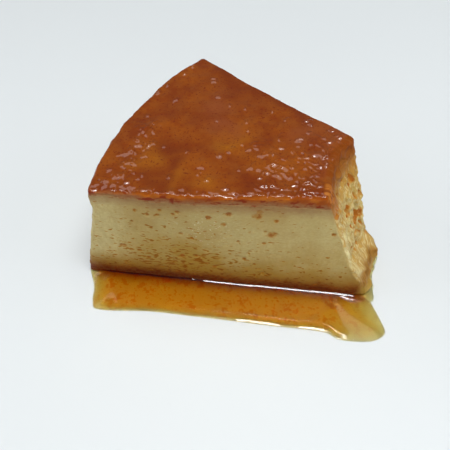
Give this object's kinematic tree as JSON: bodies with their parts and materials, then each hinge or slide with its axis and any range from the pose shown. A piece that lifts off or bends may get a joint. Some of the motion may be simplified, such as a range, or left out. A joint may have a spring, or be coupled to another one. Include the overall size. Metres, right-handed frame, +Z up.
{
  "type": "caramel custard slice",
  "caption": "Slice of set custard cut from a ring, with a glossy caramel top layer, a porous inner wall and a shallow pool of syrup at its foot.",
  "frame": {"origin": "centre of the overall footprint, on the plane that the slice stands on", "axes": "+Z up through the caramel; +X along the front cut from the outer wall to the inner wall; +Y from the front cut towards the back cut"},
  "size_m": [0.1106, 0.1071, 0.0484],
  "materials": {
    "custard": "moist set custard, pale cream tan, with small amber holes",
    "caramel": "glossy soft caramel, rusty brown and mottled",
    "syrup": "clear amber syrup, golden where it is thin"
  },
  "bodies": {
    "root": {"custard": "custard", "caramel_top": "caramel", "syrup_pool": "syrup"}
  },
  "joints": []
}
